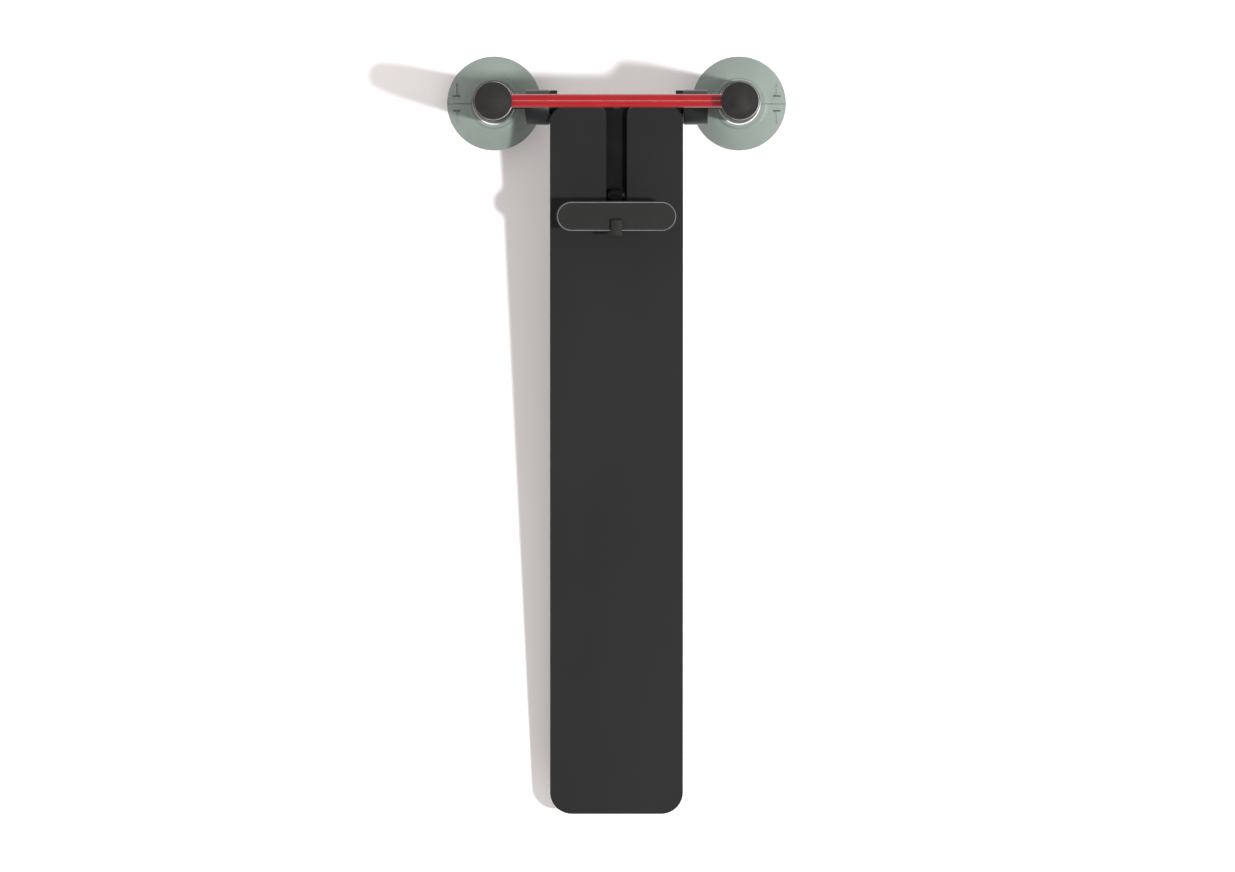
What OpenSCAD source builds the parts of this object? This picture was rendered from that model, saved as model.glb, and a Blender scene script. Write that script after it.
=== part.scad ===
// Twin-post electric kick scooter.
// X is to the rider's right, Y forward and Z up, in millimetres.
// The origin is on the ground, under the centre of the whole scooter's box.

/* [Deck] */
// Length of the deck, seen from above
deck_len = 1169; // [960:1:1400]
// Width of the deck
deck_w = 220; // [180:1:270]
// Thickness of the deck board
board_t = 18; // [16:0.5:24]
// Thickness of the grip mat
mat_t = 3; // [2:0.5:5]
// Radius of the two rear corners
rear_corner_r = 36; // [20:1:50]
// Radius of the two front corners
front_corner_r = 24; // [15:1:35]
// Width of the slot in the front of the deck
slot_w = 34; // [30:1:42]
// Length of that slot
slot_len = 161; // [145:1:190]
// Radius of the corners beside the mouth of the slot
slot_corner_r = 13; // [5:1:15]

/* [Frame] */
// Width of the spine beam under the board
spine_w = 60; // [50:1:72]
// Depth of the spine beam
spine_h = 28; // [22:1:34]
// Height of the fold axis above the ground
pivot_z = 203; // [190:1:250]
// Diameter of the pivot tube
pivot_d = 30; // [26:1:36]
// Diameter of the stub axles on the pivot tube
stub_d = 20; // [16:1:24]
// Diameter of the fold barrels
barrel_d = 58; // [48:1:70]
// Length of each fold barrel
barrel_len = 40.5; // [34:0.5:50]
// Gap between a barrel and its post
barrel_post_gap = 18.5; // [12:0.5:30]
// Largest fold angle
fold_max = 62; // [45:1:63]
// Thickness of the yoke plate
yoke_t = 14; // [12:0.5:16]
// Height of the yoke's panel
panel_h = 54; // [44:1:70]
// Diameter of the cross tubes
cross_d = 20; // [16:0.5:22]
// Diameter of the steering shaft
shaft_d = 14; // [12:0.5:16]

/* [Posts] */
// Outer diameter of a post tube
post_d = 67; // [58:0.5:80.5]
// Wall of the post, middle and inner tubes
tube_wall = 2.6; // [2:0.1:4]
// Height of the top of the posts above the ground
post_top = 432; // [420:1:520]
// Travel of each telescopic stage
stage_travel = 280; // [200:1:300]
// Outer diameter of the handlebar tube
bar_d = 22.2; // [19:0.1:25.4]
// Wall of the handlebar tube
bar_wall = 2; // [1.5:0.1:3]
// How far the heads at the ends of the bar stand in from the posts
head_step = 2.5; // [1:0.5:5]
// Height of a head's body
head_h = 32; // [28:1:40]
// Height of a twist grip
grip_h = 41; // [30:1:50]

/* [Guards] */
// Diameter of the round splash guards
guard_d = 156; // [140:1:180]
// Thickness of the guards
guard_t = 3; // [2:0.5:4]
// Drop of a guard from its hole to its rim
guard_drop = 24; // [16:1:28]
// Diameter of the guards' hinge pins
guard_pin_d = 6; // [4:0.5:8]

/* [Wheels] */
// Diameter of the front wheels
front_wheel_d = 54; // [48:1:60]
// Width of the front wheels
front_wheel_w = 34; // [26:1:38]
// Diameter of the rear wheels
rear_wheel_d = 70; // [64:1:90]
// Width of the rear wheels
rear_wheel_w = 50; // [44:1:56]
// Distance from the rear axle to the deck's rear edge
axle_inset = 58; // [48:1:80]
// Diameter of the rear axle
rear_axle_d = 12; // [10:0.5:14]

/* [Pedal] */
// Width of the brake pedal's plate
pedal_w = 200; // [150:1:214]
// Depth of the plate, front to rear
pedal_depth = 51; // [40:1:60]
// Thickness of the plate
pedal_t = 8; // [6:0.5:10]
// Height of the plate's top above the pedal's pivot
pedal_rise = 77; // [60:1:78]
// Width of the pedal's arm
arm_w = 18; // [14:0.5:20]
// Diameter of the pedal's knuckle
knuckle_d = 21.4; // [18:0.2:22]
// Diameter of the pedal's pin
pedal_pin_d = 8; // [6:0.5:9]

/* [Battery] */
// Length of the battery case
case_len = 420; // [340:1:500]
// Width of the battery case
case_w = 170; // [150:1:190]
// Depth of the battery case below the board
case_h = 74; // [68:1:80]
// Wall of the battery case
case_wall = 3; // [2:0.5:5]

/* [Fits] */
// Radial clearance of a running fit
run_fit = 0.05; // [0.02:0.01:0.1]
// Radial gap between sliding tubes
slide_gap = 0.4; // [0.3:0.05:0.6]
// Gap between pieces that pass each other
pass_gap = 0.5; // [0.4:0.1:1]

/* [Hidden] */
$fn = 96;

// Posts: side offset from the centre, and their place along the scooter
post_x = deck_w / 2 + pass_gap + barrel_len + barrel_post_gap + post_d / 2;
pivot_back = 8;
deck_back = pivot_back + 1;
post_y = (deck_len + deck_back - guard_d / 2) / 2;
pivot_y = post_y - pivot_back;

// Deck plane: its front edge, slope and thickness
deck_y = post_y - deck_back;
deck_z = pivot_z + pivot_d / 2 + board_t + mat_t + 2;
rear_top_z = rear_wheel_d + 10;
slope = atan((deck_z - rear_top_z) / deck_len);
deck_run = deck_len / cos(slope);
skin_t = board_t + mat_t;
spine_end = deck_run - (axle_inset + 40) / cos(slope);

// Rear axle
axle_y = deck_y - deck_len + axle_inset;
axle_z = rear_wheel_d / 2;
rear_x = 75;
rear_bearing_r = 14;
rear_bearing_w = 8;
rear_tyre_t = 8;
rotor_r = rear_wheel_d / 2 - rear_tyre_t;
rotor_wall = 5.5;
well_gap = 5;
axle_cap_t = 3.5;

// Fold yoke and steering head
stub_end = deck_w / 2 + pass_gap + barrel_len - 0.5;
barrel_x0 = deck_w / 2 + pass_gap;
leg_x0 = barrel_x0 + 1.5;
leg_x1 = barrel_x0 + barrel_len - 1;
fold_clear = 4.5;
fold_spare = 3;
fold_stop = fold_max + fold_spare;
panel_low = pivot_z + (deck_z - pivot_z + fold_clear) / (cos(fold_stop) + sin(fold_stop) * tan(slope));
panel_top = panel_low + panel_h;
head_tube_r = 11;
bush_r = 9;
bush_flange_t = 2;
collar_t = 8;
upper_cross_z = panel_top + cross_d / 2 + 6;
lower_cross_z = pivot_z - barrel_d / 2 - cross_d / 2 - 24;
boss_r = 12;

// Posts and telescopic tubes
crown_gap = 6;
crown_t = 10;
crown_z = front_wheel_d + crown_gap;
post_z = crown_z + crown_t;
spigot_h = 20;
post_bore_r = post_d / 2 - tube_wall;
middle_r = post_bore_r - slide_gap;
middle_bore_r = middle_r - tube_wall;
inner_r = middle_bore_r - slide_gap;
lip_t = 3;
middle_z = post_z + spigot_h + 5;
middle_top = post_top + lip_t + pass_gap;
collar_ring_t = 2.2;
inner_z = middle_z + 5;
head_z = middle_top + collar_ring_t + pass_gap;
head_d = post_d - 2 * head_step;
bar_z = head_z + 14;
head_top = head_z + head_h;
grip_z = head_top + pass_gap;
grip_top = grip_z + grip_h;
grip_r = head_d / 2 - 0.6;
bar_end = post_x - head_d / 2 + 18;
spindle_r = 10;
spindle_h = 15;

// Guards
guard_hole_r = post_d / 2 + 2.1;
guard_lip_r = guard_hole_r + 5.4;
guard_z = crown_z + 6;
guard_r = guard_d / 2;
pin_r = guard_r - 4;
relief_r = 9;
guard_knuckle_r = 6.5;
guard_knuckle_h = 9.5;
guard_knuckle_z = guard_z - guard_drop - 6;
bracket_z = post_z + 2;
bracket_t = 6;

// Front wheels
fork_gap = 1.5;
cheek_t = 5;
cheek_half = 13;
front_bearing_r = 11;
front_bearing_w = 7;
bolt_r = 4;

// Pedal
pedal_y = deck_y - slot_len + 16.5;
pedal_pivot_z = deck_z - (deck_y - pedal_y) * tan(slope) - skin_t / cos(slope) + knuckle_d / 2 + 4;
plate_y = pedal_y - 35.5;
plate_top = pedal_pivot_z + pedal_rise;
plate_rear = plate_y - pedal_depth / 2;
spring_gap = 7.2;
spring_wire = 1.8;

// Battery case, in the deck's own frame
case_front = 200;
cover_t = 4;
case_boss_r = 5.5;
case_screw_r = 2;
case_foot = -skin_t - case_h;
socket_r = 9;
socket_run = case_front + case_len - 60;
socket_drop = skin_t + 42;
flap_t = 3;
flap_pin_r = 1.25;

// Place of a point along and above the deck's sloping top
function along(y, z) = (y - deck_y) * cos(slope) + (z - deck_z) * sin(slope);
function above(y, z) = (z - deck_z) * cos(slope) - (y - deck_y) * sin(slope);

// Things placed on the deck's own frame: its front edge is y = 0 and its top is z = 0
module on_deck() {
  translate([0, deck_y, deck_z]) rotate([slope, 0, 0]) children();
}

// Cylinder along X between two places
module x_rod(x0, x1, r, y = 0, z = 0) {
  translate([x0, y, z]) rotate([0, 90, 0]) cylinder(h = x1 - x0, r = r);
}

// Outline in the YZ plane, made solid between two places along X
module x_prism(x0, x1) {
  translate([x0, 0, 0]) rotate([90, 0, 90]) linear_extrude(x1 - x0) children();
}

// Flat bar with round ends, from p to q
module round_bar(p, q, w) {
  run = norm(q - p);
  translate(p) rotate(atan2(q[1] - p[1], q[0] - p[0])) union() {
    translate([0, -w / 2]) square([run, w]);
    circle(d = w);
    translate([run, 0]) circle(d = w);
  }
}

// Rectangle with round corners, centred
module round_rect(w, l, r) {
  square([w - 2 * r, l], center = true);
  square([w, l - 2 * r], center = true);
  for (sx = [-1, 1], sy = [-1, 1])
    translate([sx * (w / 2 - r), sy * (l / 2 - r)]) circle(r);
}

// The same on each side of the scooter
module both_sides() {
  children();
  mirror([1, 0, 0]) children();
}

// Deck outline, with the slot open at the front
module deck_outline() {
  translate([-deck_w / 2, -deck_run + rear_corner_r])
    square([deck_w, deck_run - rear_corner_r - slot_len]);
  translate([-deck_w / 2 + rear_corner_r, -deck_run])
    square([deck_w - 2 * rear_corner_r, rear_corner_r + 1]);
  for (s = [-1, 1])
    translate([s * (deck_w / 2 - rear_corner_r), -deck_run + rear_corner_r]) circle(rear_corner_r);
  both_sides() front_lobe();
}

// One of the two lobes beside the slot
module front_lobe() {
  inner = slot_w / 2;
  outer = deck_w / 2;
  translate([inner, -slot_len - 1]) square([outer - inner, slot_len + 1 - front_corner_r]);
  translate([inner, -front_corner_r])
    square([outer - inner - front_corner_r, front_corner_r - slot_corner_r]);
  translate([inner + slot_corner_r, -front_corner_r])
    square([outer - inner - front_corner_r - slot_corner_r, front_corner_r]);
  translate([outer - front_corner_r, -front_corner_r]) circle(front_corner_r);
  translate([inner + slot_corner_r, -slot_corner_r]) circle(slot_corner_r);
}

// Deck board: a moulded board with pockets underneath and wells for the rear wheels
module deck_board() {
  pocket_l = 84;
  pocket_pitch = 92;
  pocket_x0 = spine_w / 2 + 6;
  pocket_w = deck_w / 2 - 10 - pocket_x0;
  color([0.2, 0.2, 0.2]) difference() {
    on_deck() difference() {
      translate([0, 0, -skin_t]) linear_extrude(board_t) deck_outline();
      for (y = [slot_len + 20 : pocket_pitch : spine_end - pocket_l], s = [-1, 1])
        translate([s * (pocket_x0 + pocket_w / 2), -y - pocket_l / 2, -skin_t - 1])
          linear_extrude(board_t - 4 + 1) round_rect(pocket_w, pocket_l, 8);
      translate([-tail_w / 2, -deck_run - 1, tail_z]) cube([tail_w, tail_d + 1, tail_h]);
    }
    for (s = [-1, 1])
      x_rod(s * rear_x - rear_wheel_w / 2 - well_gap, s * rear_x + rear_wheel_w / 2 + well_gap,
            rear_wheel_d / 2 + well_gap, axle_y, axle_z);
  }
}
tail_w = 80;
tail_d = 8;
tail_h = 9;
tail_z = -mat_t - 3 - tail_h;

// Grip mat over the whole board
module deck_mat() {
  color([0.21, 0.21, 0.21]) on_deck() translate([0, 0, -mat_t]) linear_extrude(mat_t) deck_outline();
}

// Tail light, let into the board's rear edge
module tail_light() {
  gap = 0.1;
  color([0.6, 0.05, 0.05]) on_deck()
    translate([-tail_w / 2 + gap, -deck_run, tail_z + gap])
      cube([tail_w - 2 * gap, tail_d - gap, tail_h - 2 * gap]);
}

// Spine beam: a box section under the board, saddled to the pivot tube
module spine_beam() {
  wall = 3;
  color([0.12, 0.12, 0.12]) difference() {
    on_deck() translate([-spine_w / 2, -spine_end, -skin_t - spine_h])
      cube([spine_w, spine_end - 4, spine_h]);
    on_deck() translate([-spine_w / 2 + wall, -spine_end - 1, -skin_t - spine_h + wall])
      cube([spine_w - 2 * wall, spine_end - 40, spine_h - 2 * wall]);
    x_rod(-spine_w, spine_w, pivot_d / 2, pivot_y, pivot_z);
    translate([-spine_w, pivot_y, 0]) cube([2 * spine_w, pivot_d, 2 * pivot_z]);
  }
}

// Pivot tube across the front of the chassis, with a cheek and a stub axle at each end
module pivot_tube() {
  color([0.15, 0.15, 0.15]) {
    x_rod(-deck_w / 2, deck_w / 2, pivot_d / 2, pivot_y, pivot_z);
    both_sides() difference() {
      x_rod(deck_w / 2 - cheek_w, deck_w / 2, barrel_d / 2 - 1, pivot_y, pivot_z);
      on_deck() translate([0, -deck_w, -skin_t])
        cube([deck_w, 2 * deck_w, 4 * skin_t]);
    }
    for (s = [-1, 1])
      x_rod(min(0, s * stub_end), max(0, s * stub_end), stub_d / 2, pivot_y, pivot_z);
  }
}

cheek_w = 12;

// Battery case: four walls under the board, open below, notched round the spine
module battery_case() {
  color([0.1, 0.1, 0.1]) on_deck() difference() {
    union() {
      difference() {
        translate([0, -case_front - case_len / 2, case_foot])
          linear_extrude(case_h) round_rect(case_w, case_len, 14);
        translate([0, -case_front - case_len / 2, case_foot - 1]) linear_extrude(case_h + 2)
          round_rect(case_w - 2 * case_wall, case_len - 2 * case_wall, 11);
      }
      case_corners() cylinder(h = case_h, r = case_boss_r);
    }
    translate([-spine_w / 2 - pass_gap / 2, -case_front - case_len - 1, -skin_t - spine_h - pass_gap / 2])
      cube([spine_w + pass_gap, case_len + 2, spine_h + 1 + pass_gap]);
    case_corners() translate([0, 0, -1]) cylinder(h = case_h / 2, r = case_screw_r + run_fit);
    translate([case_w / 2 - 10, -socket_run, -socket_drop])
      rotate([0, 90, 0]) cylinder(h = 20, r = socket_r + run_fit);
  }
}

// The case's four corner bosses
module case_corners() {
  inset = case_wall + 7;
  for (sx = [-1, 1], y = [case_front + inset, case_front + case_len - inset])
    translate([sx * (case_w / 2 - inset), -y, case_foot]) children();
}

// Battery pack, strapped under the spine
module battery_pack() {
  pack_l = case_len * 0.62;
  pack_top = -skin_t - spine_h - 1;
  color([0.15, 0.3, 0.5]) on_deck()
    translate([0, -case_front - case_wall - 20 - pack_l / 2, case_foot])
      linear_extrude(pack_top - case_foot) round_rect(case_w - 2 * case_wall - 24, pack_l, 8);
}

// Motor controller behind the pack
module motor_controller() {
  box_l = case_len * 0.2;
  box_h = case_h - spine_h - 10;
  fins = 9;
  color([0.6, 0.6, 0.62]) on_deck()
    translate([0, -case_front - case_len + case_wall + 22 + box_l / 2, case_foot]) {
      translate([-45, -box_l / 2, 0]) cube([90, box_l, box_h]);
      for (i = [0 : fins - 1])
        translate([-44 + i * 88 / (fins - 1) - 1, -box_l / 2, box_h]) cube([2, box_l, 8]);
    }
}

// Cover that closes the case from below
module battery_cover() {
  color([0.08, 0.08, 0.08]) on_deck() difference() {
    translate([0, -case_front - case_len / 2, case_foot - cover_t])
      linear_extrude(cover_t) round_rect(case_w, case_len, 14);
    case_corners() {
      translate([0, 0, -cover_t - 1]) cylinder(h = cover_t + 2, r = case_screw_r + run_fit);
      translate([0, 0, -cover_t - 1]) cylinder(h = 3.2, r = 2 * case_screw_r + 0.2);
    }
  }
}

// Four socket-head screws that hold the cover
module case_screws() {
  color([0.55, 0.55, 0.57]) on_deck() case_corners() difference() {
    union() {
      translate([0, 0, -cover_t + 2.2]) cylinder(h = 16, r = case_screw_r);
      translate([0, 0, -cover_t]) cylinder(h = 2.2, r = 2 * case_screw_r);
    }
    translate([0, 0, -cover_t - 1]) cylinder(h = 2.4, r = 1.5, $fn = 6);
  }
}

// Things placed on the charge socket's axis, which points out of the case's right side
module at_socket() {
  on_deck() translate([case_w / 2, -socket_run, -socket_drop]) children();
}

// Charge socket with two ears and the flap's pin
module charge_socket() {
  color([0.1, 0.1, 0.1]) at_socket() {
    difference() {
      union() {
        x_rod(-14, 0, socket_r);
        x_rod(0, 2, socket_r + 4);
        for (s = [-1, 1]) translate([0, s * 8 - 1.5, 0]) {
          translate([0, 0, socket_r - 1]) cube([2, 3, flap_up - socket_r + 3]);
          translate([0, 0, socket_r + 3]) cube([flap_out + 2, 3, flap_up - socket_r - 1]);
        }
      }
      x_rod(-11, 3, socket_r - 2);
    }
    x_rod(-12, -2, 1.5);
    translate([flap_out, -9, flap_up]) rotate([-90, 0, 0]) cylinder(h = 18, r = flap_pin_r);
  }
}
flap_out = 4;
flap_up = socket_r + 6.5;

// Flap over the socket, hinged along its top
module charge_flap() {
  knuckle = 2.6;
  color([0.16, 0.16, 0.16]) at_socket() difference() {
    union() {
      x_rod(2 + 0.3, 2 + 0.3 + flap_t, socket_r + 3.5);
      translate([flap_out - knuckle + 1, -5, socket_r]) cube([knuckle + 0.3, 10, flap_up - socket_r]);
      translate([flap_out, -5.5, flap_up]) rotate([-90, 0, 0]) cylinder(h = 11, r = knuckle);
    }
    translate([flap_out, -6.5, flap_up])
      rotate([-90, 0, 0]) cylinder(h = 13, r = flap_pin_r + run_fit);
  }
}

// Rear truck: a block under the board that carries the axle
module rear_truck() {
  half = 34;
  boss = rear_axle_d / 2 + 7;
  color([0.5, 0.5, 0.52]) difference() {
    union() {
      x_rod(-half, half, boss, axle_y, axle_z);
      on_deck() translate([-half, along(axle_y, axle_z) - 24, -skin_t - 6]) cube([2 * half, 48, 6]);
      on_deck() translate([-half + 6, along(axle_y, axle_z) - boss + 1, above(axle_y, axle_z)])
        cube([2 * half - 12, 2 * boss - 2, -skin_t - 3 - above(axle_y, axle_z)]);
    }
    x_rod(-half - 1, half + 1, rear_axle_d / 2 + run_fit, axle_y, axle_z);
  }
}

// Rear axle with a cap nut at each end
module rear_axle() {
  end = rear_x + rear_wheel_w / 2 + pass_gap;
  color([0.7, 0.7, 0.72]) {
    x_rod(-end, end, rear_axle_d / 2, axle_y, axle_z);
    for (s = [-1, 1])
      x_rod(min(s * end, s * (end + axle_cap_t)), max(s * end, s * (end + axle_cap_t)),
            rear_axle_d / 2 + 3, axle_y, axle_z);
  }
}

// Motor stators, fixed on the axle inside the rear wheels
module motor_stators() {
  half = rear_wheel_w / 2 - rear_bearing_w - 2;
  slots = 12;
  color([0.72, 0.4, 0.2]) for (s = [-1, 1]) difference() {
    x_rod(s * rear_x - half, s * rear_x + half, rotor_r - rotor_wall - 0.6, axle_y, axle_z);
    x_rod(s * rear_x - half - 1, s * rear_x + half + 1, rear_axle_d / 2 + run_fit, axle_y, axle_z);
    for (i = [0 : slots - 1])
      translate([s * rear_x - half - 1, axle_y, axle_z]) rotate([i * 360 / slots, 0, 0])
        translate([0, -1, rotor_r - rotor_wall - 7]) cube([2 * half + 2, 2, 12]);
  }
}

// Rear tyre, on the outside of a motor's can
module rear_tyre(s) {
  edge = rear_tyre_t / 2;
  color([0.07, 0.07, 0.07]) translate([s * rear_x, axle_y, axle_z]) rotate([0, 90, 0])
    rotate_extrude() difference() {
      translate([rotor_r, -rear_wheel_w / 2]) union() {
        square([rear_wheel_d / 2 - rotor_r - edge, rear_wheel_w]);
        translate([0, edge]) square([rear_wheel_d / 2 - rotor_r, rear_wheel_w - 2 * edge]);
        for (y = [edge, rear_wheel_w - edge])
          translate([rear_wheel_d / 2 - rotor_r - edge, y]) circle(edge);
      }
    }
}

// Hub motor's can, with a bearing seat at each end
module rear_motor(s) {
  half = rear_wheel_w / 2;
  color([0.75, 0.75, 0.77]) translate([s * rear_x, 0, 0]) difference() {
    x_rod(-half, half, rotor_r - 0.02, axle_y, axle_z);
    x_rod(-half + rear_bearing_w + 1, half - rear_bearing_w - 1, rotor_r - rotor_wall, axle_y, axle_z);
    x_rod(-half - 1, half + 1, rear_bearing_r + 0.02, axle_y, axle_z);
  }
}

// Pair of ball bearings in a can
module rear_bearings(s) {
  half = rear_wheel_w / 2;
  color([0.8, 0.8, 0.82]) translate([s * rear_x, 0, 0]) for (x = [-half, half - rear_bearing_w])
    difference() {
      x_rod(x, x + rear_bearing_w, rear_bearing_r, axle_y, axle_z);
      x_rod(x - 1, x + rear_bearing_w + 1, rear_axle_d / 2 + run_fit, axle_y, axle_z);
    }
}

// Bracket in the slot that carries the pedal's pin
module pedal_bracket() {
  ear_in = arm_w / 2 + 1.8 + pass_gap;
  ear_t = 3;
  py = along(pedal_y, pedal_pivot_z);
  pz = above(pedal_y, pedal_pivot_z);
  color([0.1, 0.1, 0.1]) difference() {
    on_deck() {
      for (x = [-ear_in - ear_t, ear_in]) x_prism(x, x + ear_t) {
        translate([py, pz]) circle(7);
        translate([py - 7, -skin_t]) square([14, pz + skin_t]);
      }
      translate([-ear_in - ear_t, py - 12, -skin_t]) cube([2 * (ear_in + ear_t), 24, 2.5]);
    }
    x_rod(-slot_w / 2, slot_w / 2, pedal_pin_d / 2 + 0.02, pedal_y, pedal_pivot_z);
  }
}

// Pin through the bracket and the knuckle
module pedal_pin() {
  end = arm_w / 2 + 1.8 + pass_gap + 3;
  color([0.7, 0.7, 0.72]) x_rod(-end, end, pedal_pin_d / 2, pedal_y, pedal_pivot_z);
}

// Torsion spring's turns, round the pin inside the knuckle
module pedal_spring() {
  turns = 3;
  pitch = 2.1;
  color([0.6, 0.6, 0.62]) for (i = [0 : turns - 1])
    translate([(i - (turns - 1) / 2) * pitch, pedal_y, pedal_pivot_z]) rotate([0, 90, 0])
      rotate_extrude() translate([pedal_pin_d / 2 + 0.3 + spring_wire / 2, 0]) circle(d = spring_wire);
}

// Pedal arm: from the knuckle up behind, under the plate and hooked over its rear
module pedal_arm() {
  under = plate_top - pedal_t;
  bar_w = 9;
  hook_y = plate_rear - 4.8;
  over = plate_top + 4;
  color([0.24, 0.24, 0.24]) difference() {
    union() {
      intersection() {
        x_rod(-arm_w / 2 - 1.7, arm_w / 2 + 1.7, knuckle_d / 2, pedal_y, pedal_pivot_z);
        translate([0, pedal_y, pedal_pivot_z - knuckle_d]) cylinder(h = 2 * knuckle_d, r = knuckle_d / 2 + 1.5);
      }
      x_prism(-arm_w / 2, arm_w / 2) {
        round_bar([pedal_y, pedal_pivot_z], [pedal_y - 23, under - 22], 12);
        round_bar([pedal_y - 23, under - 22], [plate_y - 4, under - bar_w / 2], 11);
        round_bar([plate_y - 4, under - bar_w / 2], [hook_y, under - bar_w / 2], bar_w);
        round_bar([hook_y, under - bar_w / 2], [hook_y, over - 1], bar_w);
        round_bar([hook_y, over], [plate_rear + 18, over], 7);
      }
    }
    x_rod(-arm_w, arm_w, pedal_pin_d / 2 + run_fit, pedal_y, pedal_pivot_z);
    x_rod(-spring_gap / 2, spring_gap / 2, pedal_pin_d / 2 + spring_wire + 0.8, pedal_y,
          pedal_pivot_z);
    pedal_plate_solid(0.2);
  }
}

// The plate's pill-shaped solid, grown all round by a gap
module pedal_plate_solid(gap = 0) {
  edge = 1.5;
  half = pedal_w / 2 - pedal_depth / 2;
  for (step = [[0, 0], [-edge, edge]])
    translate([0, plate_y, plate_top - pedal_t - gap + edge - step[1]])
      linear_extrude(pedal_t + 2 * gap - 2 * edge + 2 * step[1]) {
        r = pedal_depth / 2 + gap + step[0];
        square([2 * half, 2 * r], center = true);
        for (s = [-1, 1]) translate([s * half, 0]) circle(r);
      }
}

// Pedal plate, pressed by either foot
module pedal_plate() {
  color([0.22, 0.22, 0.22]) pedal_plate_solid();
}

// Yoke: an upright plate with a leg down to each fold barrel and the head tube in its middle
module yoke_plate() {
  mid = panel_low + panel_h / 2;
  color([0.1, 0.1, 0.1]) difference() {
    union() {
      translate([0, post_y + yoke_t / 2, 0]) rotate([90, 0, 0]) linear_extrude(yoke_t) {
        translate([0, mid]) round_rect(2 * leg_x1, panel_h, 12);
        for (x = [-leg_x1, leg_x0])
          translate([x, pivot_z + 10]) square([leg_x1 - leg_x0, mid - pivot_z - 10]);
      }
      translate([0, post_y, panel_low]) cylinder(h = panel_h, r = head_tube_r);
    }
    for (x = [-barrel_x0 - barrel_len, barrel_x0])
      x_rod(x - 1, x + barrel_len + 1, barrel_d / 2, pivot_y, pivot_z);
    translate([0, post_y, panel_low - 1]) cylinder(h = panel_h + 2, r = bush_r + 0.02);
    for (s = [-1, 1]) {
      light_block(s, lamp_back, yoke_t, 0.1);
      translate([s * hook_x, post_y + yoke_t, mid]) rotate([90, 0, 0])
        cylinder(h = 2 * yoke_t, r = hook_hole_r);
    }
  }
}
lamp_x = 36;
lamp_w = 34;
lamp_h = 26;
lamp_back = 2;
hook_x = 75;
hook_hole_r = 2.5;

// Block of a headlight between two places along Y, measured from the posts' centre line
module light_block(s, y0, y1, gap = 0) {
  translate([s * lamp_x, post_y + y1, panel_low + panel_h / 2]) rotate([90, 0, 0])
    linear_extrude(y1 - y0) round_rect(lamp_w + 2 * gap, lamp_h + 2 * gap, 6);
}

// Headlight bodies, let into the front of the yoke plate
module headlight_body() {
  color([0.8, 0.8, 0.8]) for (s = [-1, 1]) light_block(s, lamp_back, yoke_t / 2 - 0.5);
}

// Headlight lenses
module headlight_lens() {
  color([0.85, 0.9, 0.95]) for (s = [-1, 1]) light_block(s, yoke_t / 2 - 0.5, yoke_t / 2 + 3);
}

// Fold barrels, which turn on the stub axles
module fold_barrels() {
  edge = 1.5;
  r = barrel_d / 2;
  hole = stub_d / 2 + run_fit;
  color([0.17, 0.19, 0.19]) difference() {
    both_sides() translate([barrel_x0, pivot_y, pivot_z]) rotate([0, 90, 0]) rotate_extrude()
      polygon([[hole, 0], [r - edge, 0], [r, edge], [r, barrel_len - edge],
               [r - edge, barrel_len], [hole, barrel_len]]);
    translate([-barrel_x0 - barrel_len / 2, pivot_y, 0])
      cylinder(h = pivot_z, r = lock_r + run_fit);
  }
}
lock_r = 4;
lock_travel = 8;
lock_knob_h = 7;
lock_neck = 4;

// Flanged bushes at both ends of the head tube
module head_bushes() {
  sleeve = 14;
  hole = shaft_d / 2 + run_fit;
  color([0.72, 0.55, 0.25]) translate([0, post_y, 0]) for (top = [0, 1]) difference() {
    union() {
      translate([0, 0, top ? panel_top - sleeve : panel_low]) cylinder(h = sleeve, r = bush_r);
      translate([0, 0, top ? panel_top : panel_low - bush_flange_t])
        cylinder(h = bush_flange_t, r = head_tube_r);
    }
    translate([0, 0, panel_low - 10]) cylinder(h = panel_h + 20, r = hole);
  }
}

// Pull pin under the left barrel
module fold_lock_pin() {
  bottom = pivot_z - barrel_d / 2;
  color([0.75, 0.75, 0.77]) translate([-barrel_x0 - barrel_len / 2, pivot_y, 0]) {
    translate([0, 0, bottom - lock_neck - 1])
      cylinder(h = barrel_d / 2 - stub_d / 2 + lock_neck + 1 - 0.6, r = lock_r);
    translate([0, 0, bottom - lock_neck - lock_knob_h]) cylinder(h = lock_knob_h, r = 9);
  }
}

// Steering shaft with its lower collar
module steering_shaft() {
  collar_top = panel_low - bush_flange_t - 0.3;
  color([0.7, 0.7, 0.72]) translate([0, post_y, 0]) {
    translate([0, 0, collar_top - collar_t])
      cylinder(h = upper_cross_z + boss_r + 1 - collar_top + collar_t, r = shaft_d / 2);
    translate([0, 0, collar_top - collar_t]) cylinder(h = collar_t, r = head_tube_r);
  }
}

// The outer shape of both posts, for the cuts that seat tubes against them
module post_cut() {
  for (s = [-1, 1]) translate([s * post_x, post_y, 0]) cylinder(h = post_top, r = post_d / 2);
}

// Upper cross tube, clamped on the shaft by the boss in its middle
module upper_cross_tube() {
  low = panel_top + bush_flange_t + 0.3;
  color([0.1, 0.1, 0.1]) difference() {
    union() {
      x_rod(-post_x, post_x, cross_d / 2, post_y, upper_cross_z);
      translate([0, post_y, low]) cylinder(h = upper_cross_z + boss_r - low, r = boss_r);
    }
    post_cut();
    translate([0, post_y, 0]) cylinder(h = post_top, r = shaft_d / 2 + 0.02);
  }
}

// Lower cross tube
module lower_cross_tube() {
  color([0.1, 0.1, 0.1]) difference() {
    x_rod(-post_x, post_x, cross_d / 2, post_y, lower_cross_z);
    post_cut();
  }
}

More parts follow.
